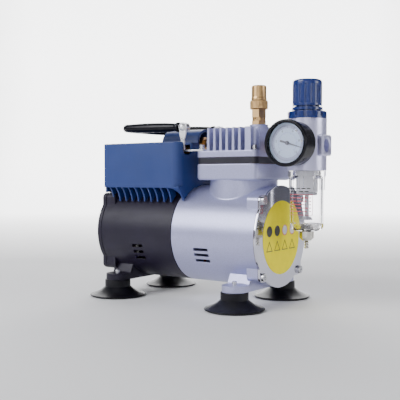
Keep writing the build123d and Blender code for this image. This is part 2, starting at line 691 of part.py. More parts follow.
with BuildPart() as cowl:
    # curved skin that closes both sides of the front corner
    skin_x = cowl_front_x - 13.0
    (middle_y, middle_z), (foot_edge_y, foot_edge_z) = corner_curve
    for side in (-1, 1):
        with BuildSketch(across(skin_x, 0, 0)):
            with BuildLine():
                ThreePointArc(
                    (side * cowl_half, cowl_z),
                    (side * middle_y, middle_z),
                    (side * foot_edge_y, foot_edge_z),
                )
                Line((side * foot_edge_y, foot_edge_z), (side * (foot_edge_y - 1.8), foot_edge_z + 0.6))
                ThreePointArc(
                    (side * (foot_edge_y - 1.8), foot_edge_z + 0.6),
                    (side * (middle_y - 1.6), middle_z + 1.2),
                    (side * (cowl_half - cowl_wall), cowl_z + 1),
                )
                Line((side * (cowl_half - cowl_wall), cowl_z + 1), (side * cowl_half, cowl_z + 1))
                Line((side * cowl_half, cowl_z + 1), (side * cowl_half, cowl_z))
            make_face()
        extrude(amount=cowl_front_x - skin_x)
    with BuildSketch(facing_side(skin_x, cowl_half + 1, 0)):
        with Locations((0, foot_edge_z)):
            Ellipse(cowl_front_x - skin_x - 1, cowl_z - foot_edge_z)
    extrude(amount=cowl_width + 2, mode=Mode.SUBTRACT)
    # the box
    with BuildSketch(Plane.XY.offset(cowl_z)) as box_outline:
        with Locations(((cowl_front_x + cowl_rear_x) / 2, 0)):
            Rectangle(cowl_length, cowl_width)
        fillet(box_outline.vertices().group_by(Axis.X)[-1], 8.5)
        fillet(box_outline.vertices().group_by(Axis.X)[0], 1.0)
    extrude(amount=cowl_top_z - cowl_z)
    fillet(cowl.faces().sort_by(Axis.Z)[-1].edges(), 0.9)
    # arch over the inlet filter
    with BuildSketch(across(arch_x, 0, cowl_top_z - 1)):
        with Locations((0, 1)):
            Circle(arch_r)
        with Locations((0, -arch_r)):
            Rectangle(3 * arch_r, 2 * arch_r, mode=Mode.SUBTRACT)
    extrude(amount=arch_length)
    arch_rim = cowl.edges().filter_by_position(Axis.X, arch_x - 0.1, arch_x + 0.1).sort_by(Axis.Z)[-1]
    fillet(arch_rim, 1.0)
    rod_x(arch_r - cowl_wall, arch_x + cowl_wall, cowl_front_x, 0, cowl_top_z, Mode.SUBTRACT)
    # hollow inside
    with BuildSketch(Plane.XY.offset(cowl_z)) as cavity:
        with Locations(((cowl_front_x + cowl_rear_x) / 2, 0)):
            Rectangle(cowl_length - 2 * cowl_wall, cowl_width - 2 * cowl_wall)
        fillet(cavity.vertices().group_by(Axis.X)[-1], 8.5 - cowl_wall)
    extrude(amount=cowl_top_z - cowl_wall - cowl_z, mode=Mode.SUBTRACT)
    # end walls and louvre ribs
    with BuildSketch(across(cowl_front_x - cowl_wall, 0, 0)):
        Polygon((-36, 90), (36, 90), (36, cowl_z + 2), (-36, cowl_z + 2), align=None)
        with Locations((0, axis_z)):
            Circle(cowl_motor_r, mode=Mode.SUBTRACT)
    extrude(amount=cowl_wall)
    skirt_web(cowl_front_x - cowl_wall, cowl_wall, 35, corner_curve)
    first_rib_x = cowl_front_x - 15.0 - rib_pitch * (rib_count - 1)
    for i in range(rib_count):
        skirt_web(first_rib_x + i * rib_pitch, rib_thickness, 31, rib_curve)
    block(cowl_rear_x, cowl_rear_x + cowl_wall, -cowl_half + 2.5, cowl_half - 2.5,
          axis_z + ear_half + 0.7, cowl_z + 1)
    ear_prism(rear_x, ear_length + 0.8, body_r + 0.5, ear_half + 0.5, ear_corner, Mode.SUBTRACT)
    rod_x(body_r + 0.5, rear_x, cowl_front_x, mode=Mode.SUBTRACT)
    # mouth of the arch, notches for the handle brackets, holes in the rear wall
    block(cowl_front_x - cowl_wall - 1, cowl_front_x + 1, -arch_r + cowl_wall, arch_r - cowl_wall,
          intake_z - 10, cowl_top_z, Mode.SUBTRACT)
    with BuildSketch(across(cowl_front_x - 15, 0, 0)):
        for side in (-1, 1):
            with Locations((side * notch_y, notch_z + 10)):
                RectangleRounded(notch_width, 20, 4.5)
    extrude(amount=16, mode=Mode.SUBTRACT)
    for side in (-1, 1):
        rod_x(cowl_screw_r + hole_clearance, cowl_rear_x, cowl_rear_x + cowl_wall, side * cowl_screw_y,
              cowl_screw_z, Mode.SUBTRACT)
    rod_x(gland_r, cowl_rear_x, cowl_rear_x + cowl_wall, gland_y, gland_z, Mode.SUBTRACT)
    block(cowl_rear_x, cowl_rear_x + cowl_wall, switch_y - 9.4, switch_y + 9.4,
          switch_z - 6.3, switch_z + 6.3, Mode.SUBTRACT)

# four in each end cover and two through the rear wall of the cowl
with BuildPart() as cover_screws:
    for y, z in corner_places(cover_screw_half):
        pan_head_screw(rear_x - 2.5, -1, y, z, 3.4, 2.3, 10, cover_screw_r)
        pan_head_screw(front_face_x, 1, y, z, 3.7, 2.5, 9, cover_screw_r)
    for side in (-1, 1):
        pan_head_screw(cowl_rear_x, -1, side * cowl_screw_y, cowl_screw_z, 2.8, 1.9,
                       cowl_wall + seat + post_thickness, cowl_screw_r)

with BuildPart() as cable_gland:
    rod_x(gland_r - seat, cowl_rear_x - 1, cowl_rear_x + cowl_wall + 5, gland_y, gland_z)
    rod_x(8.0, cowl_rear_x - 3, cowl_rear_x, gland_y, gland_z)
    rod_x(7.0, cowl_rear_x - 9, cowl_rear_x - 3, gland_y, gland_z)
    fillet(cable_gland.edges().group_by(Axis.X)[0], 1.5)
    hex_x(17, cowl_rear_x + cowl_wall + seat, cowl_rear_x + cowl_wall + 4, gland_y, gland_z)
    rod_x(3.2, cowl_rear_x - 9, cowl_rear_x + cowl_wall + 5, gland_y, gland_z, Mode.SUBTRACT)

with BuildPart() as switch_housing:
    block(cowl_rear_x - 1.2, cowl_rear_x, switch_y - 10.6, switch_y + 10.6, switch_z - 7.4, switch_z + 7.4)
    block(cowl_rear_x, cowl_rear_x + 14, switch_y - 9.2, switch_y + 9.2, switch_z - 6.1, switch_z + 6.1)
    block(cowl_rear_x - 1.2, cowl_rear_x + 8, switch_y - 7.7, switch_y + 7.7, switch_z - 5, switch_z + 5,
          Mode.SUBTRACT)
    rod_z(0.9, switch_z - 5.6, switch_z + 5.6, cowl_rear_x + 1.5, switch_y, Mode.SUBTRACT)

# the rocker turns on a vertical pin, two flats meeting at a shallow angle
with BuildPart() as switch_rocker:
    with BuildSketch(Plane.XY.offset(switch_z - 4.6)):
        with Locations((cowl_rear_x + 1.5, switch_y)):
            Polygon((-2.4, -6.3), (-1.4, 0), (-3.9, 6.3), (1.5, 6.0), (3.5, 0), (1.5, -6.0), align=None)
    extrude(amount=9.2)
    rod_z(0.9 - running, switch_z - 5.4, switch_z + 5.4, cowl_rear_x + 1.5, switch_y)

with BuildPart() as capacitor:
    rod_x(14, seam_x - 72, seam_x - 22, 22, 129)
    fillet(capacitor.edges().group_by(Axis.X)[0], 2)
    for y in (17, 27):
        block(seam_x - 22, seam_x - 15, y - 3, y + 3, 128.6, 129.4)

# ---------------------------------------------------------------- handle
tang_thickness = 3.0
eye_r = 4.5
screw_head_height = 2.8
handle_plane = Plane(
    origin=(pivot_x, 0, pivot_z),
    x_dir=(cos(radians(handle_tilt)), 0, -sin(radians(handle_tilt))),
    z_dir=(sin(radians(handle_tilt)), 0, cos(radians(handle_tilt))),
)
grip_start = 6.5
arm_y = handle_pitch / 2
with BuildPart() as handle_grip:
    with BuildLine(handle_plane) as grip_path:
        FilletPolyline(
            (-grip_start, -arm_y),
            (-handle_reach, -arm_y),
            (-handle_reach, arm_y),
            (-grip_start, arm_y),
            radius=handle_corner,
        )
    with BuildSketch(Plane(grip_path.line @ 0, z_dir=grip_path.line % 0)):
        Circle(handle_r)
    sweep(path=grip_path.line)
    # a swelling along each arm and a collar at its end
    for side in (-1, 1):
        with BuildSketch(handle_plane):
            with BuildLine():
                Bezier(
                    (-grip_start - 5, side * (arm_y + handle_r)),
                    (
                        -(grip_start + handle_reach - handle_corner) / 2,
                        side * (arm_y + handle_r + 2 * handle_bulge),
                    ),
                    (-handle_reach + handle_corner, side * (arm_y + handle_r)),
                )
                Line((-handle_reach + handle_corner, side * (arm_y + handle_r)),
                     (-handle_reach + handle_corner, side * arm_y))
                Line((-handle_reach + handle_corner, side * arm_y), (-grip_start - 5, side * arm_y))
                Line((-grip_start - 5, side * arm_y), (-grip_start - 5, side * (arm_y + handle_r)))
            make_face()
        arm_axis = Axis(handle_plane.from_local_coords((0, side * arm_y, 0)), handle_plane.x_dir)
        revolve(axis=arm_axis)
        with BuildSketch(handle_plane):
            with BuildLine():
                Polyline(
                    (-grip_start, side * arm_y),
                    (-grip_start, side * (arm_y + handle_r + 0.8)),
                    (-grip_start - 1.6, side * (arm_y + handle_r + 0.8)),
                    (-grip_start - 5, side * (arm_y + handle_r - 0.3)),
                    (-grip_start - 5, side * arm_y),
                    close=True,
                )
            make_face()
        revolve(axis=arm_axis)
    # sockets for the steel tangs
    for side in (-1, 1):
        with BuildSketch(handle_plane):
            with Locations((-grip_start - 6, side * arm_y)):
                Rectangle(12, tang_thickness)
        extrude(amount=2, both=True, mode=Mode.SUBTRACT)

with BuildPart() as handle_tangs:
    for side in (-1, 1):
        with BuildSketch(handle_plane):
            with Locations((-(grip_start + 12) / 2, side * arm_y)):
                Rectangle(grip_start + 12, tang_thickness)
        extrude(amount=2, both=True)
        y = side * arm_y
        rod_y(eye_r, y - tang_thickness / 2, y + tang_thickness / 2, pivot_x, pivot_z)
        rod_y(pivot_r + running, y - tang_thickness / 2, y + tang_thickness / 2, pivot_x, pivot_z,
              Mode.SUBTRACT)

# each bracket is a bent steel strip: a strap under the head bolt and an upright eye outside the tang
leg_y = arm_y + tang_thickness / 2 + gap
strap_half = 4.5
with BuildPart() as handle_brackets:
    for side in (-1, 1):
        y0, y1 = sorted((side * leg_y, side * (leg_y + bracket_thickness)))
        bolt_y = side * bolt_half
        bolt_x = cyl_x - bolt_half
        block(pivot_x - 2.2, bolt_x + 5, bolt_y - strap_half, bolt_y + strap_half,
              head_base_top, head_base_top + bracket_thickness)
        with BuildSketch(facing_side(0, y1, 0)):
            with BuildLine():
                Polyline(
                    (pivot_x - 2.2, head_base_top),
                    (pivot_x + 2.2, head_base_top),
                    (pivot_x + 2.0, pivot_z - 13),
                    (pivot_x + 3.6, pivot_z - 7),
                    (pivot_x + 3.6, pivot_z),
                    (pivot_x - 3.6, pivot_z),
                    (pivot_x - 3.6, pivot_z - 7),
                    (pivot_x - 2.0, pivot_z - 13),
                    close=True,
                )
            make_face()
        extrude(amount=y1 - y0)
        rod_y(eye_r, y0, y1, pivot_x, pivot_z)
        rod_y(pivot_r, y0, y1, pivot_x, pivot_z, Mode.SUBTRACT)
        rod_z(head_bolt_r + hole_clearance, head_base_top, head_base_top + bracket_thickness, bolt_x, bolt_y,
              Mode.SUBTRACT)

# shoulder screws: domed heads outside the brackets, nuts inside the tangs
screw_head_r = 3.9
nut_y = arm_y - tang_thickness / 2 - gap
nut_thickness = 2.6
dome_r = (screw_head_r**2 + screw_head_height**2) / (2 * screw_head_height)
dome_mid = sqrt(dome_r**2 - screw_head_r**2 / 4) - dome_r + screw_head_height
with BuildPart() as handle_pivot_screws:
    for side in (-1, 1):
        outer = leg_y + bracket_thickness
        low, high = sorted((side * (nut_y - nut_thickness - 0.6), side * (outer + 0.5)))
        rod_y(pivot_r, low, high, pivot_x, pivot_z)
        with BuildSketch(Plane.XY.offset(pivot_z)):
            with BuildLine():
                Line((pivot_x, side * outer), (pivot_x + screw_head_r, side * outer))
                ThreePointArc(
                    (pivot_x + screw_head_r, side * outer),
                    (pivot_x + screw_head_r / 2, side * (outer + dome_mid)),
                    (pivot_x, side * (outer + screw_head_height)),
                )
                Line((pivot_x, side * (outer + screw_head_height)), (pivot_x, side * outer))
            make_face()
        revolve(axis=Axis((pivot_x, 0, pivot_z), (0, 1, 0)))
        with BuildSketch(facing_side(pivot_x, max(side * (nut_y - nut_thickness), side * nut_y), pivot_z)):
            RegularPolygon(3.6, 6, major_radius=False)
        extrude(amount=nut_thickness)

# ---------------------------------------------------------------- relief valve
relief_neck_z = relief_boss_z + 3.6
relief_hex_z = relief_boss_z + 6.8
relief_hex_top = relief_boss_z + 14.2
relief_ring_top = relief_boss_z + 22.7
relief_cap_top = relief_boss_z + 36.8
relief_thread_r = 5.0
with BuildPart() as relief_valve_body:
    rod_z(relief_thread_r, relief_boss_z - 8.5, relief_boss_z, relief_x)
    hex_z(13, relief_boss_z, relief_neck_z, relief_x)
    rod_z(6.3, relief_neck_z, relief_hex_z, relief_x)
    hex_z(13, relief_hex_z, relief_hex_top, relief_x)
    rod_z(relief_thread_r, relief_hex_top, relief_cap_top - 8, relief_x)
    rod_z(3.6, relief_neck_z + 1, relief_cap_top - 8, relief_x, mode=Mode.SUBTRACT)
    rod_z(1.8, relief_boss_z - 8.5, relief_neck_z + 1, relief_x, mode=Mode.SUBTRACT)
    # blow-off holes in the neck
    with Locations(Location((relief_x, 0, relief_neck_z + 2.2))):
        with PolarLocations(0, 4):
            Cylinder(0.8, 20, rotation=(0, 90, 0), mode=Mode.SUBTRACT)

ring_knurl_count = 40
with BuildPart() as relief_lock_ring:
    rod_z(8.5, relief_hex_top + gap, relief_ring_top, relief_x)
    chamfer(relief_lock_ring.edges().filter_by(GeomType.CIRCLE), 0.7)
    with Locations((relief_x, 0, relief_hex_top)):
        with PolarLocations(8.75, ring_knurl_count):
            Cylinder(0.45, 20, mode=Mode.SUBTRACT)
    rod_z(relief_thread_r + 2 * running, relief_hex_top, relief_ring_top, relief_x, mode=Mode.SUBTRACT)

with BuildPart() as relief_cap:
    turned(
        [
            (0, relief_ring_top + gap),
            (7.3, relief_ring_top + gap),
            (7.3, relief_ring_top + 2),
            (7.0, relief_ring_top + 3.5),
            (7.0, relief_cap_top - 0.8),
            (6.2, relief_cap_top),
            (0, relief_cap_top),
        ],
        relief_x,
    )
    rod_z(relief_thread_r + 2 * running, relief_ring_top, relief_cap_top - 7, relief_x, mode=Mode.SUBTRACT)
    rod_z(1.5, relief_cap_top - 7, relief_cap_top, relief_x, mode=Mode.SUBTRACT)

with BuildPart() as relief_poppet:
    rod_z(3.2, relief_neck_z + 1, relief_neck_z + 3.6, relief_x)
    rod_z(1.6, relief_neck_z + 3.6, relief_neck_z + 8, relief_x)

# ---------------------------------------------------------------- filter regulator
port_half = port_to_port / 2
reg_body_r = 17.5
reg_body_z = 125.0
reg_body_top = 171.5
port_flange = 18.6
port_flange_thickness = 4.6
filter_room_r = 13.0
filter_room_top = 141.0
spring_room_z = 158.0
spring_room_r = 13.5
with BuildPart() as regulator_body:
    rod_z(reg_body_r, reg_body_z, reg_body_top, reg_x)
    fillet(regulator_body.edges().group_by(Axis.Z)[0], 0.8)
    rod_x(8, reg_x - port_half + 1, reg_x + port_half - 1, 0, outlet_z)
    for side in (-1, 1):
        outer = reg_x + side * port_half
        x0, x1 = sorted((outer, outer - side * port_flange_thickness))
        with BuildSketch(across(x0, 0, outlet_z)):
            RectangleRounded(port_flange, port_flange, 1.6)
        extrude(amount=x1 - x0)
    rod_y(7.0, -19.0, 19.0, reg_x, gauge_z)
    rod_z(filter_room_r, reg_body_z, filter_room_top, reg_x, mode=Mode.SUBTRACT)
    rod_z(spring_room_r, spring_room_z, reg_body_top, reg_x, mode=Mode.SUBTRACT)
    for side in (-1, 1):
        x0, x1 = sorted((reg_x + side * port_half, reg_x + side * 7.5))
        rod_x(port_thread_r, x0, x1, 0, outlet_z, Mode.SUBTRACT)
    mouth = regulator_body.edges().filter_by(GeomType.CIRCLE).filter_by_position(
        Axis.X, reg_x + port_half - 0.01, reg_x + port_half + 0.01
    )
    chamfer(mouth, 1.2)
    # inlet to the filter, filter to the seat, seat to the outlet
    rod_z(2.5, filter_room_top - 1, outlet_z, reg_x - 9.5, mode=Mode.SUBTRACT)
    rod_z(3.0, filter_room_top - 1, spring_room_z, reg_x, mode=Mode.SUBTRACT)
    rod_z(2.5, outlet_z, spring_room_z + 1, reg_x + 9.5, mode=Mode.SUBTRACT)
    rod_y(4.8, -19.0, -12.0, reg_x, gauge_z, Mode.SUBTRACT)
    rod_y(1.2, -12.0, 0, reg_x, gauge_z, Mode.SUBTRACT)
    # keying notches under the lock ring
    with Locations((reg_x, 0, reg_body_top)):
        with PolarLocations(reg_body_r, 6, start_angle=15):
            Box(3.2, 5, 5.6, mode=Mode.SUBTRACT)

# screwed pipe fittings: the head to the regulator, and the inlet filter to the head
nipple_x = cyl_x + head_half
inlet_face_x = reg_x - port_half
fitting_bore_r = 4.0
with BuildPart() as pipe_fittings:
    rod_x(port_thread_r, nipple_x - 8, inlet_face_x + 8, 0, outlet_z)
    hex_x(14, nipple_x + 1, inlet_face_x - 1, 0, outlet_z)
    rod_x(fitting_bore_r, nipple_x - 8, inlet_face_x + 8, 0, outlet_z, Mode.SUBTRACT)
    rod_x(intake_thread_r, intake_boss_x, first_fin_x + 2, 0, intake_z)
    rod_x(intake_pipe_r, intake_pipe_end - 6, intake_boss_x, 0, intake_z)
    hex_x(13, intake_boss_x - 6, intake_boss_x, 0, intake_z)
    hex_x(12, seam_x + 2, seam_x + 8, 0, intake_z)
    rod_x(intake_pipe_r - 1.5, intake_pipe_end - 6, first_fin_x + 2, 0, intake_z, Mode.SUBTRACT)

ring_z = reg_body_top + seat
ring_top = 178.0
collar_z = 179.2
collar_top = 181.6
knob_z = 183.0
knob_top = 206.6
knob_r = 13.2
bonnet_tube_r = 10.3
bonnet_tube_top = 196.0
adjuster_r = 4.0
with BuildPart() as regulator_bonnet:
    rod_z(reg_body_r, ring_z, ring_top, reg_x)
    chamfer(regulator_bonnet.edges().group_by(Axis.Z)[-1], 0.7)
    with Locations((reg_x, 0, ring_top)):
        with PolarLocations(reg_body_r, 14, start_angle=8):
            Box(2.0, 2.6, 9, mode=Mode.SUBTRACT)
    rod_z(12.2, ring_z, collar_z, reg_x)
    rod_z(13.8, collar_z, collar_top, reg_x)
    rod_z(bonnet_tube_r, collar_top, bonnet_tube_top, reg_x)
    rod_z(bonnet_tube_r - 1.6, ring_z, bonnet_tube_top - 5, reg_x, mode=Mode.SUBTRACT)
    rod_z(adjuster_r + running, bonnet_tube_top - 5, bonnet_tube_top, reg_x, mode=Mode.SUBTRACT)

knob_lift = 3.0
hex_drive = 9.0
flute_count = 16
with BuildPart() as regulator_knob:
    rod_z(knob_r, knob_z, knob_top, reg_x)
    fillet(regulator_knob.edges().group_by(Axis.Z)[-1], 2.6)
    with Locations((reg_x, 0, knob_z + 2)):
        with PolarLocations(knob_r + 0.9, flute_count):
            Cylinder(1.7, 17, align=bottom, mode=Mode.SUBTRACT)
    rod_z(bonnet_tube_r + 0.8, knob_z, bonnet_tube_top + knob_lift + 1, reg_x, mode=Mode.SUBTRACT)
    hex_z(hex_drive + 2 * gap, bonnet_tube_top, knob_top - 2, reg_x, mode=Mode.SUBTRACT)

with BuildPart() as adjusting_screw:
    rod_z(adjuster_r, bonnet_tube_top - 11, bonnet_tube_top + 1, reg_x)
    hex_z(hex_drive, bonnet_tube_top + 1, knob_top - 2.4, reg_x)

diaphragm_z = spring_room_z + 5.0
with BuildPart() as diaphragm:
    turned(
        [
            (0, diaphragm_z),
            (6, diaphragm_z),
            (9, diaphragm_z - 1.6),
            (spring_room_r - seat, diaphragm_z),
            (spring_room_r - seat, diaphragm_z + 1.2),
            (9, diaphragm_z - 0.4),
            (6, diaphragm_z + 1.2),
            (0, diaphragm_z + 1.2),
        ],
        reg_x,
    )


def coil_spring(x, z0, z1, coil_r, wire_r, pitch):
    """A round-wire compression spring on a vertical axis."""
    with BuildLine(Plane(origin=(x, 0, z0))) as coil:
        Helix(pitch, z1 - z0, coil_r)
    with BuildSketch(Plane(coil.line @ 0, z_dir=coil.line % 0)) as wire:
        Circle(wire_r)
    sweep(wire.sketch, path=coil.line)


with BuildPart() as range_spring:
    coil_spring(reg_x, diaphragm_z + 2.4, bonnet_tube_top - 12.5, 6.2, 0.9, 3.4)

with BuildPart() as relief_spring:
    coil_spring(relief_x, relief_neck_z + 4.3, relief_cap_top - 8.2, 2.6, 0.45, 1.9)

# ---------------------------------------------------------------- filter bowl
bowl_r = 15.15
bowl_wall = 2.0
bowl_z = 71.0
bowl_collar_z = 119.8
bowl_collar_top = 124.6
bowl_throat_r = 10.6
drain_hole_r = 3.4
with BuildPart() as filter_bowl:
    rod_z(bowl_r, bowl_z, bowl_collar_z, reg_x)
    fillet(filter_bowl.edges().group_by(Axis.Z)[0], 5)
    rod_z(17.0, bowl_collar_z, bowl_collar_top, reg_x)
    rod_z(filter_room_r - gap, bowl_collar_top, bowl_collar_top + 6, reg_x)
    turned(
        [
            (0, bowl_z + 2.6),
            (bowl_r - bowl_wall - 4, bowl_z + 2.6),
            (bowl_r - bowl_wall, bowl_z + 6.6),
            (bowl_r - bowl_wall, bowl_collar_z - 2),
            (bowl_throat_r, bowl_collar_z + 1),
            (bowl_throat_r, bowl_collar_top + 6),
            (0, bowl_collar_top + 6),
        ],
        reg_x,
        mode=Mode.SUBTRACT,
    )
    rod_z(drain_hole_r, bowl_z, bowl_z + 3, reg_x, mode=Mode.SUBTRACT)
    # grip lugs under the collar
    with Locations((reg_x, 0, bowl_collar_z - 12)):
        with PolarLocations(bowl_r + 0.3, 8, start_angle=10):
            Box(1.8, 3.4, 12, align=bottom)

element_r = 9.8
element_z = 106.0
with BuildPart() as filter_element:
    rod_z(element_r, element_z, filter_room_top, reg_x)
    rod_z(6.2, element_z, filter_room_top, reg_x, mode=Mode.SUBTRACT)

# the baffle's foot stays clear of the drain stem when that is pushed up
stem_r = 1.3
barb_r = 2.25
drain_z = bowl_z - 9.0
drain_travel = 2.0
stem_head_top = bowl_z + 7.2
baffle_z = stem_head_top + drain_travel + 0.6
with BuildPart() as baffle:
    rod_z(1.9, baffle_z + 1, filter_room_top, reg_x)
    rod_z(9.3, element_z - 3, element_z - 0.3, reg_x)
    fillet(baffle.edges().filter_by(GeomType.CIRCLE).sort_by(SortBy.RADIUS)[-1], 0.8)
    turned([(0, baffle_z), (5.5, baffle_z), (4, baffle_z + 2.5), (0, baffle_z + 4)], reg_x)

with BuildPart() as drain_body:
    turned(
        [
            (0, drain_z),
            (4.0, drain_z),
            (6.7, drain_z + 2.7),
            (6.7, bowl_z - 0.8),
            (6.2, bowl_z - seat),
            (drain_hole_r - seat, bowl_z - seat),
            (drain_hole_r - seat, bowl_z + 5.9),
            (0, bowl_z + 5.9),
        ],
        reg_x,
    )
    rod_z(stem_r + gap, drain_z, bowl_z + 6, reg_x, mode=Mode.SUBTRACT)
    rod_z(barb_r + gap, drain_z, drain_z + drain_travel + 1, reg_x, mode=Mode.SUBTRACT)

# the nut inside the bowl that holds the drain
with BuildPart() as drain_nut:
    hex_z(12, bowl_z + 2.6 + seat, bowl_z + 5.6, reg_x)
    rod_z(drain_hole_r - seat, bowl_z + 2.6, bowl_z + 6, reg_x, mode=Mode.SUBTRACT)

with BuildPart() as drain_stem:
    rod_z(stem_r, drain_z - 6, stem_head_top - 0.8, reg_x)
    for z in (drain_z - 7.4, drain_z - 5.0, drain_z - 2.6):
        turned([(0, z), (1.7, z), (barb_r, z + 1.0), (stem_r, z + 2.4), (0, z + 2.4)], reg_x)
    rod_z(3.0, stem_head_top - 1, stem_head_top, reg_x)

# ---------------------------------------------------------------- seals
# the front gasket, the ones under and over the valve plate, and the ring that seals the bowl
with BuildPart() as gaskets:
    ear_prism(front_x, front_gasket_thickness, body_r, ear_half, ear_corner)
    rod_x(bore_r, front_x, front_plate_x, mode=Mode.SUBTRACT)
    for y, z in corner_places(cover_screw_half):
        rod_x(cover_screw_r, front_x, front_plate_x, y, z, Mode.SUBTRACT)
    for z in (flange_top, valve_plate_top):
        with BuildSketch(Plane.XY.offset(z)):
            with Locations((cyl_x, 0)):
                RectangleRounded(head_size - 2, head_size - 2, head_corner - 1)
                Circle(liner_r + 0.5, mode=Mode.SUBTRACT)
                with GridLocations(head_bolt_pitch, head_bolt_pitch, 2, 2):
                    Circle(head_bolt_r + hole_clearance, mode=Mode.SUBTRACT)
        extrude(amount=gasket_thickness)
    with Locations((reg_x, 0, bowl_collar_top + 7)):
        Torus(filter_room_r - 1.0, 0.9)

# ---------------------------------------------------------------- pressure gauge
gauge_back_y = gauge_front_y + gauge_depth
dial_y = gauge_front_y + 5.2
case_r = gauge_r - 1.0
with BuildPart() as gauge_case:
    rod_y(case_r, gauge_front_y + 3, gauge_back_y, reg_x, gauge_z)
    fillet(gauge_case.edges().group_by(Axis.Y)[-1], 1.6)
    rod_y(case_r - 1.3, gauge_front_y + 3, gauge_back_y - 1.6, reg_x, gauge_z, Mode.SUBTRACT)
    rod_y(4.9, gauge_back_y - 2, gauge_back_y, reg_x, gauge_z, Mode.SUBTRACT)

with BuildPart() as gauge_bezel:
    rod_y(gauge_r, gauge_front_y, gauge_front_y + 4.6, reg_x, gauge_z)
    fillet(gauge_bezel.edges().group_by(Axis.Y)[0], 1.3)
    rod_y(17.3, gauge_front_y, gauge_front_y + 1.2, reg_x, gauge_z, Mode.SUBTRACT)
    rod_y(18.0, gauge_front_y + 1.2, gauge_front_y + 3, reg_x, gauge_z, Mode.SUBTRACT)
    rod_y(case_r, gauge_front_y + 3, gauge_front_y + 4.6, reg_x, gauge_z, Mode.SUBTRACT)
    chamfer(gauge_bezel.edges().filter_by(GeomType.CIRCLE).group_by(Axis.Y)[0].sort_by(SortBy.RADIUS)[0], 0.7)

with BuildPart() as gauge_lens:
    rod_y(17.9, gauge_front_y + 1.3, gauge_front_y + 2.5, reg_x, gauge_z)

with BuildPart() as gauge_dial:
    rod_y(case_r - 1.5, dial_y, dial_y + 0.5, reg_x, gauge_z)
    rod_y(1.0, dial_y, dial_y + 0.5, reg_x, gauge_z, Mode.SUBTRACT)

pointer_plane = Plane(
    origin=(reg_x, dial_y - 0.6, gauge_z),
    x_dir=(cos(radians(pointer_angle)), 0, sin(radians(pointer_angle))),
    z_dir=(0, -1, 0),
)
with BuildPart() as gauge_pointer:
    with BuildSketch(pointer_plane):
        Polygon((-7.2, -0.9), (-7.2, 0.9), (0, 0.7), (13.5, 0.2), (13.5, -0.2), (0, -0.7), align=None)
    extrude(amount=0.4)
    rod_y(1.75, dial_y - 1.6, dial_y - 0.4, reg_x, gauge_z)
    rod_y(0.6, dial_y - 0.6, dial_y + 4, reg_x, gauge_z)

tube_path_r = 12.0
with BuildPart() as gauge_movement:
    rod_y(4.7, gauge_back_y - 2.4, -12.5, reg_x, gauge_z)
    block(reg_x - 4, reg_x + 4, gauge_back_y - 7, gauge_back_y - 2, gauge_z - 4, gauge_z + 4)
    block(reg_x - 2.5, reg_x + 2.5, gauge_back_y - 7, gauge_back_y - 3, gauge_z - tube_path_r, gauge_z)
    with BuildSketch(Plane(origin=(reg_x, gauge_back_y - 5, gauge_z - tube_path_r), z_dir=(1, 0, 0))):
        Circle(1.6)
    revolve(axis=Axis((reg_x, 0, gauge_z), (0, 1, 0)), revolution_arc=250)
    rod_y(2.6, dial_y + 1, gauge_back_y - 7, reg_x, gauge_z)
    rod_y(0.6 + running, dial_y + 1, dial_y + 4.5, reg_x, gauge_z, Mode.SUBTRACT)
    rod_y(0.8, -16, -12.5, reg_x, gauge_z, Mode.SUBTRACT)
    with BuildSketch(facing_side(reg_x, gauge_back_y + 1.7, gauge_z)):
        RegularPolygon(5.5, 6, major_radius=False)
    extrude(amount=1.6)

# ---------------------------------------------------------------- files
pieces = {
    "rear_housing": rear_housing,
    "crankcase": crankcase,
    "rear_cover": rear_cover,
    "front_cover": front_cover,
    "cover_screws": cover_screws,
    "suction_feet": suction_feet,
    "foot_studs": foot_studs,
    "stator_core": stator_core,
    "windings": windings,
    "rotor": rotor,
    "motor_shaft": motor_shaft,
    "motor_bearings": motor_bearings,
    "cooling_fan": cooling_fan,
    "crank_web": crank_web,
    "crank_pin": crank_pin,
    "big_end_bearing": big_end_bearing,
    "connecting_rod": connecting_rod,
    "piston": piston,
    "piston_seal": piston_seal,
    "wrist_pin": wrist_pin,
    "cylinder_liner": cylinder_liner,
    "valve_plate": valve_plate,
    "reed_valves": reed_valves,
    "cylinder_head": cylinder_head,
    "head_bolts": head_bolts,
    "intake_filter": intake_filter,
    "cowl": cowl,
    "cable_gland": cable_gland,
    "switch_housing": switch_housing,
    "switch_rocker": switch_rocker,
    "capacitor": capacitor,
    "handle_grip": handle_grip,
    "handle_tangs": handle_tangs,
    "handle_brackets": handle_brackets,
    "handle_pivot_screws": handle_pivot_screws,
    "relief_valve_body": relief_valve_body,
    "relief_lock_ring": relief_lock_ring,
    "relief_cap": relief_cap,
    "relief_poppet": relief_poppet,
    "regulator_body": regulator_body,
    "pipe_fittings": pipe_fittings,
    "regulator_bonnet": regulator_bonnet,
    "regulator_knob": regulator_knob,
    "adjusting_screw": adjusting_screw,
    "diaphragm": diaphragm,
    "range_spring": range_spring,
    "relief_spring": relief_spring,
    "filter_bowl": filter_bowl,
    "filter_element": filter_element,
    "baffle": baffle,
    "drain_body": drain_body,
    "drain_nut": drain_nut,
    "drain_stem": drain_stem,
    "gaskets": gaskets,
    "gauge_case": gauge_case,
    "gauge_bezel": gauge_bezel,
    "gauge_lens": gauge_lens,
    "gauge_movement": gauge_movement,
    "gauge_dial": gauge_dial,
    "gauge_pointer": gauge_pointer,
}
for name, piece in pieces.items():
    piece.part.label = name
    export_step(piece.part, f"parts/{name}.step")
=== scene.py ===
from math import cos, pi, radians, sin

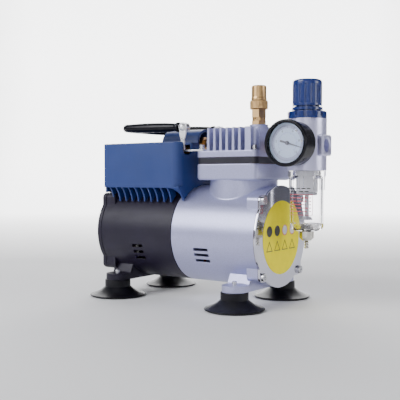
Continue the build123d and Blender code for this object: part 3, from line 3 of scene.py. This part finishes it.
import bmesh
import bpy
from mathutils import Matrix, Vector


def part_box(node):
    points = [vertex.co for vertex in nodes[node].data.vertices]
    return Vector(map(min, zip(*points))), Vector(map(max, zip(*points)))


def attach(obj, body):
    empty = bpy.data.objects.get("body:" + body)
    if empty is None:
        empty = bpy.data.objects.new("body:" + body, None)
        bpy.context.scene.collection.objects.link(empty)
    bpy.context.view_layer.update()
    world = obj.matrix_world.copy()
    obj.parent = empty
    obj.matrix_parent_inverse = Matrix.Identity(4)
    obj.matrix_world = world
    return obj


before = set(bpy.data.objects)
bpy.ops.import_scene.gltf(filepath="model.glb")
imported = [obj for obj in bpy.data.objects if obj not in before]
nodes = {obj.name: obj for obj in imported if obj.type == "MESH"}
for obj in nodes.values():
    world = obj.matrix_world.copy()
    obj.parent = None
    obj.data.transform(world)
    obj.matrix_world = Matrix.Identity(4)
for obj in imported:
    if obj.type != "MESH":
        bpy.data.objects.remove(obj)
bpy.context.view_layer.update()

# ---------------------------------------------------------------- camera
camera_tilt = radians(90 - 1.84)
camera_turn = radians(35.4)
camera_data = bpy.data.cameras.new("camera")
camera_data.lens = 63.0
camera_data.sensor_width = 36.0
camera_data.clip_start = 0.01
camera = bpy.data.objects.new("camera", camera_data)
camera.location = (0.3859, -0.5712, 0.1189)
camera.rotation_euler = (camera_tilt, 0, camera_turn)
bpy.context.scene.collection.objects.link(camera)
bpy.context.scene.camera = camera


# ---------------------------------------------------------------- materials
def node_tree(name):
    """A new material with its tree and shader."""
    material = bpy.data.materials.new(name)
    material.use_nodes = True
    tree = material.node_tree
    return material, tree, tree.nodes["Principled BSDF"]


def noise(tree, scale, detail=4.0, roughness=0.55):
    """A noise texture in object space."""
    place = tree.nodes.new("ShaderNodeTexCoord")
    texture = tree.nodes.new("ShaderNodeTexNoise")
    texture.inputs["Scale"].default_value = scale
    texture.inputs["Detail"].default_value = detail
    texture.inputs["Roughness"].default_value = roughness
    tree.links.new(place.outputs["Object"], texture.inputs["Vector"])
    return texture.outputs["Fac"]


def remap(tree, value, low, high, from_low=0.3, from_high=0.7):
    node = tree.nodes.new("ShaderNodeMapRange")
    node.inputs["From Min"].default_value = from_low
    node.inputs["From Max"].default_value = from_high
    node.inputs["To Min"].default_value = low
    node.inputs["To Max"].default_value = high
    tree.links.new(value, node.inputs["Value"])
    return node.outputs["Result"]


def mixed(tree, factor, first, second):
    """A colour mix; each side is a colour or a socket."""
    node = tree.nodes.new("ShaderNodeMix")
    node.data_type = "RGBA"
    for socket, side in ((node.inputs[6], first), (node.inputs[7], second)):
        if isinstance(side, tuple):
            socket.default_value = (*side, 1.0)
        else:
            tree.links.new(side, socket)
    if isinstance(factor, float):
        node.inputs[0].default_value = factor
    else:
        tree.links.new(factor, node.inputs[0])
    return node.outputs[2]


def shade(colour, amount):
    return tuple(min(1.0, c * amount) for c in colour)


def surface(name, colour, rough, metal=0.0, coat=0.0, mottle=(14, 0.06), rough_vary=0.06,
            grain=(900, 0.02), edge=0.0003, specular=0.5):
    """A material with uneven colour and roughness, a fine grain and softened edges."""
    material, tree, shader = node_tree(name)
    scale, amount = mottle
    clouds = noise(tree, scale, 5.0)
    base = mixed(tree, remap(tree, clouds, 0.0, 1.0), shade(colour, 1 - amount), shade(colour, 1 + amount))
    tree.links.new(base, shader.inputs["Base Color"])
    smudge = noise(tree, scale * 2.7, 6.0, 0.65)
    tree.links.new(remap(tree, smudge, rough - rough_vary, rough + rough_vary), shader.inputs["Roughness"])
    shader.inputs["Metallic"].default_value = metal
    shader.inputs["Coat Weight"].default_value = coat
    shader.inputs["Coat Roughness"].default_value = 0.12
    shader.inputs["Specular IOR Level"].default_value = specular
    grain_scale, grain_height = grain
    bump = tree.nodes.new("ShaderNodeBump")
    bump.inputs["Strength"].default_value = grain_height * 10
    bump.inputs["Distance"].default_value = 0.0001
    tree.links.new(noise(tree, grain_scale, 3.0, 0.6), bump.inputs["Height"])
    if edge:
        bevel = tree.nodes.new("ShaderNodeBevel")
        bevel.samples = 4
        bevel.inputs["Radius"].default_value = edge
        tree.links.new(bevel.outputs["Normal"], bump.inputs["Normal"])
    tree.links.new(bump.outputs["Normal"], shader.inputs["Normal"])
    return material


def clear(name, colour, rough, ior):
    """A clear plastic or glass with faint streaks."""
    material, tree, shader = node_tree(name)
    streaks = noise(tree, 60, 3.0)
    tree.links.new(mixed(tree, remap(tree, streaks, 0.0, 1.0), shade(colour, 0.98), colour),
                   shader.inputs["Base Color"])
    tree.links.new(remap(tree, streaks, rough, rough + 0.03), shader.inputs["Roughness"])
    shader.inputs["Transmission Weight"].default_value = 1.0
    shader.inputs["IOR"].default_value = ior
    return material


silver = surface("silver_paint", (0.43, 0.44, 0.67), 0.34, metal=0.5, coat=0.15, mottle=(900, 0.10),
                 grain=(2600, 0.035), edge=0.0006)
satin = surface("satin_aluminium", (0.62, 0.62, 0.86), 0.33, metal=0.6, coat=0.1, mottle=(60, 0.03),
                grain=(1800, 0.02), edge=0.0004)
black_paint = surface("black_paint", (0.014, 0.011, 0.025), 0.42, mottle=(30, 0.15), grain=(1500, 0.03),
                      edge=0.0006, specular=0.28)
plate = surface("polished_steel", (0.66, 0.66, 0.76), 0.10, metal=1.0, mottle=(22, 0.04), rough_vary=0.04,
                grain=(500, 0.006), edge=0.0003)
bracket_chrome = surface("bracket_chrome", (0.95, 0.95, 0.99), 0.30, metal=0.75, mottle=(40, 0.03),
                         grain=(700, 0.01), edge=0.0003)
zinc = surface("zinc_steel", (0.66, 0.66, 0.70), 0.26, metal=1.0, mottle=(60, 0.08), edge=0.0002)
gasket = surface("gasket", (0.16, 0.11, 0.09), 0.75, mottle=(300, 0.2), grain=(1800, 0.06), edge=0)
rubber = surface("black_rubber", (0.005, 0.0045, 0.008), 0.40, mottle=(25, 0.2), grain=(1100, 0.03),
                 edge=0.0003, specular=0.25)
lamination = surface("lamination", (0.16, 0.16, 0.18), 0.5, metal=0.6, mottle=(1500, 0.3), edge=0)
copper = surface("copper", (0.60, 0.24, 0.12), 0.35, metal=0.8, mottle=(400, 0.25), grain=(900, 0.08), edge=0)
steel = surface("steel", (0.55, 0.55, 0.58), 0.25, metal=1.0, mottle=(60, 0.06), edge=0)
iron = surface("cast_iron", (0.14, 0.14, 0.15), 0.6, metal=0.4, mottle=(90, 0.2), grain=(800, 0.06))
aluminium = surface("bare_aluminium", (0.68, 0.68, 0.71), 0.32, metal=1.0, mottle=(80, 0.07))
black_plastic = surface("black_plastic", (0.014, 0.014, 0.018), 0.45, mottle=(40, 0.15), grain=(1400, 0.04),
                        specular=0.4)
pale_plastic = surface("pale_plastic", (0.52, 0.52, 0.58), 0.4, mottle=(60, 0.05), edge=0)
white_plastic = surface("white_plastic", (0.85, 0.85, 0.90), 0.6, mottle=(900, 0.05), grain=(1600, 0.08),
                        edge=0)
black_plate = surface("black_plate", (0.018, 0.017, 0.027), 0.30, mottle=(50, 0.08), rough_vary=0.02,
                      grain=(900, 0.004), edge=0.0004)
brass = surface("brass", (0.60, 0.38, 0.17), 0.34, metal=1.0, mottle=(90, 0.07), rough_vary=0.05,
                grain=(900, 0.008), edge=0.0002)
blue_gloss = surface("blue_gloss", (0.010, 0.028, 0.16), 0.22, coat=0.2, mottle=(40, 0.08),
                     grain=(900, 0.008), edge=0.0003)
grip = surface("grip", (0.004, 0.004, 0.008), 0.22, mottle=(30, 0.2), grain=(700, 0.01), specular=0.2)
nickel = surface("nickel", (0.72, 0.70, 0.64), 0.2, metal=1.0, mottle=(120, 0.08), edge=0.0002)
enamel = surface("gauge_black", (0.005, 0.005, 0.009), 0.24, mottle=(30, 0.2), grain=(900, 0.01),
                 edge=0.0004, specular=0.25)
dial_face = surface("dial", (0.66, 0.78, 1.0), 0.6, mottle=(120, 0.02), grain=(2000, 0.02), edge=0)
pointer_paint = surface("pointer_grey", (0.22, 0.22, 0.27), 0.4, mottle=(200, 0.05), edge=0)
bowl_clear = clear("clear_bowl", (0.98, 0.98, 1.0), 0.02, 1.28)
lens_clear = clear("lens_clear", (0.99, 0.99, 1.0), 0.01, 1.15)
cowl_blue = surface("blue_cowl", (0.013, 0.038, 0.175), 0.42, mottle=(18, 0.07), grain=(1700, 0.03),
                    edge=0.0008)

looks = {
    silver: ("crankcase", "cylinder_head"),
    satin: ("regulator_body",),
    black_paint: ("rear_housing", "rear_cover"),
    plate: ("front_cover",),
    bracket_chrome: ("handle_brackets", "handle_pivot_screws"),
    zinc: ("cover_screws", "foot_studs", "head_bolts", "handle_tangs", "adjusting_screw"),
    gasket: ("gaskets", "diaphragm"),
    rubber: ("suction_feet",),
    lamination: ("stator_core", "rotor"),
    copper: ("windings",),
    steel: ("motor_shaft", "motor_bearings", "crank_pin", "big_end_bearing", "wrist_pin", "reed_valves",
            "relief_spring", "range_spring"),
    iron: ("crank_web",),
    aluminium: ("connecting_rod", "piston", "cylinder_liner", "capacitor"),
    black_plastic: ("cooling_fan", "cable_gland", "switch_housing", "switch_rocker"),
    pale_plastic: ("baffle", "drain_nut"),
    white_plastic: ("piston_seal", "filter_element"),
    black_plate: ("valve_plate",),
    brass: ("pipe_fittings", "intake_filter", "relief_valve_body", "relief_lock_ring", "relief_cap",
            "relief_poppet", "gauge_movement"),
    cowl_blue: ("cowl",),
    blue_gloss: ("regulator_bonnet", "regulator_knob"),
    grip: ("handle_grip",),
    bowl_clear: ("filter_bowl",),
    lens_clear: ("gauge_lens",),
    nickel: ("drain_body", "drain_stem"),
    enamel: ("gauge_case", "gauge_bezel"),
    dial_face: ("gauge_dial",),
    pointer_paint: ("gauge_pointer",),
}
for material, names in looks.items():
    for name in names:
        mesh = nodes[name].data
        mesh.materials.clear()
        mesh.materials.append(material)


# ---------------------------------------------------------------- pieces made here
def piece(name, material):
    """An empty piece and the bmesh to fill."""
    mesh = bpy.data.meshes.new(name)
    obj = bpy.data.objects.new(name, mesh)
    bpy.context.scene.collection.objects.link(obj)
    mesh.materials.append(material)
    return obj, bmesh.new()


def close(made):
    """Write the filled mesh and fix the piece to the machine."""
    obj, form = made
    bmesh.ops.recalc_face_normals(form, faces=form.faces)
    form.to_mesh(obj.data)
    form.free()
    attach(obj, "machine")


def plate_of(form, outline, to_point, depth, hole=None):
    """A thin plate from a 2-D outline, with an optional hole outline of the same count."""
    top = [form.verts.new(to_point(a, b, depth)) for a, b in outline]
    base = [form.verts.new(to_point(a, b, 0.0)) for a, b in outline]
    count = len(outline)
    if hole is None:
        form.faces.new(top)
        form.faces.new(base[::-1])
    else:
        top_in = [form.verts.new(to_point(a, b, depth)) for a, b in hole]
        base_in = [form.verts.new(to_point(a, b, 0.0)) for a, b in hole]
        for i in range(count):
            j = (i + 1) % count
            form.faces.new((top[i], top[j], top_in[j], top_in[i]))
            form.faces.new((base[i], base_in[i], base_in[j], base[j]))
            form.faces.new((top_in[i], top_in[j], base_in[j], base_in[i]))
    for i in range(count):
        j = (i + 1) % count
        form.faces.new((top[i], base[i], base[j], top[j]))


def ring_points(radius, count, centre=(0.0, 0.0), start=0.0):
    """Points evenly round a circle, as a 2-D outline."""
    angles = [start + 2 * pi * i / count for i in range(count)]
    return [(centre[0] + radius * cos(a), centre[1] + radius * sin(a)) for a in angles]


def paint(name, colour, rough=0.45):
    return surface(name, colour, rough, mottle=(150, 0.04), grain=(1500, 0.015), edge=0)


yellow = surface("label_yellow", (0.95, 0.82, 0.0), 0.55, mottle=(150, 0.04), edge=0, specular=0.15)
ink = paint("label_ink", (0.02, 0.02, 0.022))
label_white = paint("label_white", (0.75, 0.75, 0.78))
label_red = paint("label_red", (0.72, 0.10, 0.13))

# round label on the front cover, with plain discs, rings and triangles
label_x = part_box("front_cover")[1].x
label_z = 0.0635
label_r = 0.034
label_lift = 0.00005
label_depth = 0.00025
label_face = label_lift + label_depth
ink_depth = 0.00005
mark_places = (-0.0228, -0.0085, 0.0058, 0.0200)
mark_r = 0.0050
ring_hole_r = 0.0042
mark_z = 0.0066
triangle_r = 0.0064
triangle_hole_r = 0.0049
triangle_z = -0.0085


def on_cover(lift):
    return lambda a, b, depth: (label_x + lift + depth, a, label_z + b)


made = piece("round_label", yellow)
plate_of(made[1], ring_points(label_r, 96), on_cover(label_lift), label_depth)
close(made)
made = piece("label_discs", ink)
for y in mark_places[:2]:
    plate_of(made[1], ring_points(mark_r, 40, (y, mark_z)), on_cover(label_face), ink_depth)
close(made)
made = piece("label_rings", label_red)
for y in mark_places[2:]:
    plate_of(made[1], ring_points(mark_r, 40, (y, mark_z)), on_cover(label_face), ink_depth,
             ring_points(ring_hole_r, 40, (y, mark_z)))
close(made)
made = piece("label_ring_middles", label_white)
for y in mark_places[2:]:
    plate_of(made[1], ring_points(ring_hole_r, 40, (y, mark_z)), on_cover(label_face), 0.00004)
close(made)
made = piece("label_triangles", ink)
for y in mark_places:
    plate_of(made[1], ring_points(triangle_r, 3, (y, triangle_z), pi / 2), on_cover(label_face), ink_depth,
             ring_points(triangle_hole_r, 3, (y, triangle_z), pi / 2))
close(made)

# ---------------------------------------------------------------- gauge dial
dial_low, dial_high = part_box("gauge_dial")
gauge_x = (dial_low.x + dial_high.x) / 2
gauge_z = (dial_low.z + dial_high.z) / 2
dial_y = dial_low.y
dial_start = 225
dial_sweep = 270
dial_ink_depth = 0.00004
scale_r = 0.0150
inner_scale_r = 0.0094
number_r = 0.0112


def on_dial(a, b, depth):
    return (gauge_x + a, dial_y - 0.00004 - depth, gauge_z + b)


def tick(form, angle, inner_r, outer_r, half_width):
    """A short radial line on the dial."""
    ca, sa = cos(angle), sin(angle)
    corners = [(r * ca - side * half_width * sa, r * sa + side * half_width * ca)
               for r, side in ((inner_r, -1), (outer_r, -1), (outer_r, 1), (inner_r, 1))]
    plate_of(form, corners, on_dial, dial_ink_depth)


# greyer outer scale round the pale middle, and two small screws
scale_grey = paint("dial_scale_grey", (0.50, 0.55, 0.76))
made = piece("dial_scale_band", scale_grey)
plate_of(made[1], ring_points(0.0158, 96), on_dial, 0.00001, ring_points(0.0127, 96))
close(made)
made = piece("dial_screws", zinc)
for a, b in ((0.0085, 0.0103), (0.0136, 0.0014)):
    plate_of(made[1], ring_points(0.0010, 24, (a, b)), on_dial, 0.0003)
close(made)

pale_ink = paint("dial_pale_ink", (0.33, 0.42, 0.78))
grey_ink = paint("dial_grey_ink", (0.20, 0.22, 0.34))
made = piece("dial_rings", grey_ink)
plate_of(made[1], ring_points(scale_r, 96), on_dial, dial_ink_depth, ring_points(0.01482, 96))
close(made)
made = piece("dial_ticks", grey_ink)
for i in range(51):
    inner_r, half_width = (0.0128, 0.00016) if i % 5 == 0 else (0.0139, 0.00008)
    tick(made[1], radians(dial_start - dial_sweep * i / 50), inner_r, scale_r, half_width)
close(made)
made = piece("dial_inner_ticks", pale_ink)
for i in range(36):
    inner_r = 0.0078 if i % 5 == 0 else 0.0084
    tick(made[1], radians(dial_start - dial_sweep * i / 35), inner_r, inner_scale_r, 0.00014)
close(made)
for i in range(6):
    angle = radians(dial_start - dial_sweep * i / 5)
    text = bpy.data.curves.new(f"dial_number_{2 * i}", "FONT")
    text.body = str(2 * i)
    text.size = 0.0030
    text.align_x = "CENTER"
    text.align_y = "CENTER"
    text.extrude = 0.00002
    text.materials.append(grey_ink)
    number = bpy.data.objects.new(f"dial_number_{2 * i}", text)
    number.location = (gauge_x + number_r * cos(angle), dial_y - 0.00008, gauge_z + number_r * sin(angle))
    number.rotation_euler = (pi / 2, 0, 0)
    bpy.context.scene.collection.objects.link(number)
    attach(number, "machine")

# ---------------------------------------------------------------- print on the filter bowl
bowl_low, bowl_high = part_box("filter_bowl")
bowl_x = (bowl_low.x + bowl_high.x) / 2
bowl_r = 0.01515
print_r = bowl_r + 0.00006
print_depth = 0.00004
facing = radians(-63.3)  # the side of the bowl that faces the front quarter
frame_start, frame_end = -75, 20
frame_low, frame_top = 0.0855, 0.1040
frame_line = 0.0004
text_height = 0.0008


def on_bowl(form, start, end, z0, z1):
    """A patch of print wrapped on the bowl."""
    steps = max(2, int((end - start) / 4) + 2)
    outer, inner = [], []
    for i in range(steps):
        angle = facing + radians(start + (end - start) * i / (steps - 1))
        for group, radius in ((outer, print_r + print_depth), (inner, print_r)):
            x, y = bowl_x + radius * cos(angle), radius * sin(angle)
            group.append((form.verts.new((x, y, z0)), form.verts.new((x, y, z1))))
    for i in range(steps - 1):
        (a0, a1), (b0, b1) = outer[i], outer[i + 1]
        (c0, c1), (d0, d1) = inner[i], inner[i + 1]
        form.faces.new((a0, b0, b1, a1))
        form.faces.new((c0, c1, d1, d0))
        form.faces.new((a0, c0, d0, b0))
        form.faces.new((a1, b1, d1, c1))
    for (a0, a1), (c0, c1) in ((outer[0], inner[0]), (outer[-1], inner[-1])):
        form.faces.new((a0, a1, c1, c0))


made = piece("bowl_print_red", label_red)
on_bowl(made[1], frame_start, frame_end, frame_top - frame_line, frame_top)
on_bowl(made[1], frame_start, frame_end, frame_low, frame_low + frame_line)
on_bowl(made[1], frame_start, frame_start + 1.5, frame_low + frame_line, frame_top - frame_line)
on_bowl(made[1], frame_end - 1.5, frame_end, frame_low + frame_line, frame_top - frame_line)
for i, z in enumerate((0.1005, 0.0975, 0.0945, 0.0915, 0.0885)):
    for start, end in ((-68, -55), (-52, -42 + 3 * i), (-36 + 2 * i, -20), (-16, 4 - 5 * (i % 3)), (8, 14)):
        on_bowl(made[1], start, end, z, z + text_height)
close(made)
made = piece("bowl_print_dark", ink)
for z, spans in ((0.1088, ((-72, -58), (-54, -38), (-34, -22), (-18, -4), (0, 12))),
                 (0.1062, ((-70, -52), (-48, -32), (-28, -12), (-8, 6)))):
    for start, end in spans:
        on_bowl(made[1], start, end, z, z + text_height)
close(made)


# ---------------------------------------------------------------- studio
def lamp(name, place, target, size, power, colour=(1, 1, 1)):
    data = bpy.data.lights.new(name, "AREA")
    data.shape = "RECTANGLE"
    data.size, data.size_y = size
    data.energy = power
    data.color = colour
    obj = bpy.data.objects.new(name, data)
    obj.location = place
    aim = Vector(target) - Vector(place)
    obj.rotation_euler = aim.to_track_quat("-Z", "Y").to_euler()
    bpy.context.scene.collection.objects.link(obj)


lamp("key", (-0.75, -1.35, 0.95), (0, 0, 0.10), (1.2, 1.0), 32, (0.96, 0.97, 1.0))
lamp("right_card", (1.35, 0.30, 0.40), (0.1, 0, 0.08), (0.6, 0.6), 6.5)
lamp("front_fill", (0.55, -1.5, 0.35), (0, 0, 0.10), (0.4, 0.7), 1.5)
lamp("top", (-0.1, 0.2, 1.3), (0, 0, 0.1), (0.8, 0.8), 3)

world = bpy.data.worlds.new("world")
world.use_nodes = True
world.node_tree.nodes["Background"].inputs["Color"].default_value = (0.75, 0.78, 0.90, 1)
world.node_tree.nodes["Background"].inputs["Strength"].default_value = 0.06
bpy.context.scene.world = world

# round floor that sweeps up into a wall all round the machine, brightest behind it
sweep_mesh = bpy.data.meshes.new("studio_sweep")
sweep = bpy.data.objects.new("studio_sweep", sweep_mesh)
bpy.context.scene.collection.objects.link(sweep)
form = bmesh.new()
floor_r = 1.7
bend_r = 0.6
floor_drop = 0.0002  # the floor lies this far under the feet
profile = [(r, 0.0) for r in (0.15, 0.5, 1.0, floor_r)]
profile += [(floor_r + bend_r * sin(radians(a)), bend_r - bend_r * cos(radians(a))) for a in range(9, 91, 9)]
profile += [(floor_r + bend_r, 2.6)]
rows = [[form.verts.new((x, y, height - floor_drop)) for x, y in ring_points(radius, 64)]
        for radius, height in profile]
form.faces.new(rows[0])
for low, high in zip(rows, rows[1:]):
    for i in range(len(low)):
        j = (i + 1) % len(low)
        form.faces.new((low[i], high[i], high[j], low[j]))
for face in form.faces:
    face.smooth = True
form.to_mesh(sweep_mesh)
form.free()

# the material is pale in a strip along the camera's line of sight and dark elsewhere as painted shade, and
# glows behind the machine as painted light
backdrop, tree, shader = node_tree("studio_painted_shade_and_glow")
shader.inputs["Roughness"].default_value = 0.9
shader.inputs["Emission Color"].default_value = (1, 1, 1, 1)
spot = tree.nodes.new("ShaderNodeTexCoord")
turn = tree.nodes.new("ShaderNodeMapping")
turn.vector_type = "POINT"
turn.inputs["Rotation"].default_value = (0, 0, -camera_turn)
split = tree.nodes.new("ShaderNodeSeparateXYZ")
tree.links.new(spot.outputs["Object"], turn.inputs["Vector"])
tree.links.new(turn.outputs["Vector"], split.inputs["Vector"])
side = tree.nodes.new("ShaderNodeMath")
side.operation = "ABSOLUTE"
tree.links.new(split.outputs["X"], side.inputs[0])
middle = remap(tree, side.outputs["Value"], 1.0, 0.0, 0.7, 1.5)
cloud = mixed(tree, remap(tree, noise(tree, 3.0), 0.0, 1.0), (0.86, 0.86, 0.87), (0.88, 0.88, 0.88))
# painted shade: the base colour falls to dark grey away from the strip the camera sees
tree.links.new(mixed(tree, middle, (0.16, 0.16, 0.18), cloud), shader.inputs["Base Color"])
# painted light: emission that brightens the sweep behind the machine
glow = tree.nodes.new("ShaderNodeMath")
glow.operation = "MULTIPLY"
tree.links.new(remap(tree, split.outputs["Y"], 0.0, 4.0, 0.3, 2.0), glow.inputs[0])
tree.links.new(middle, glow.inputs[1])
tree.links.new(glow.outputs["Value"], shader.inputs["Emission Strength"])
sweep_mesh.materials.append(backdrop)
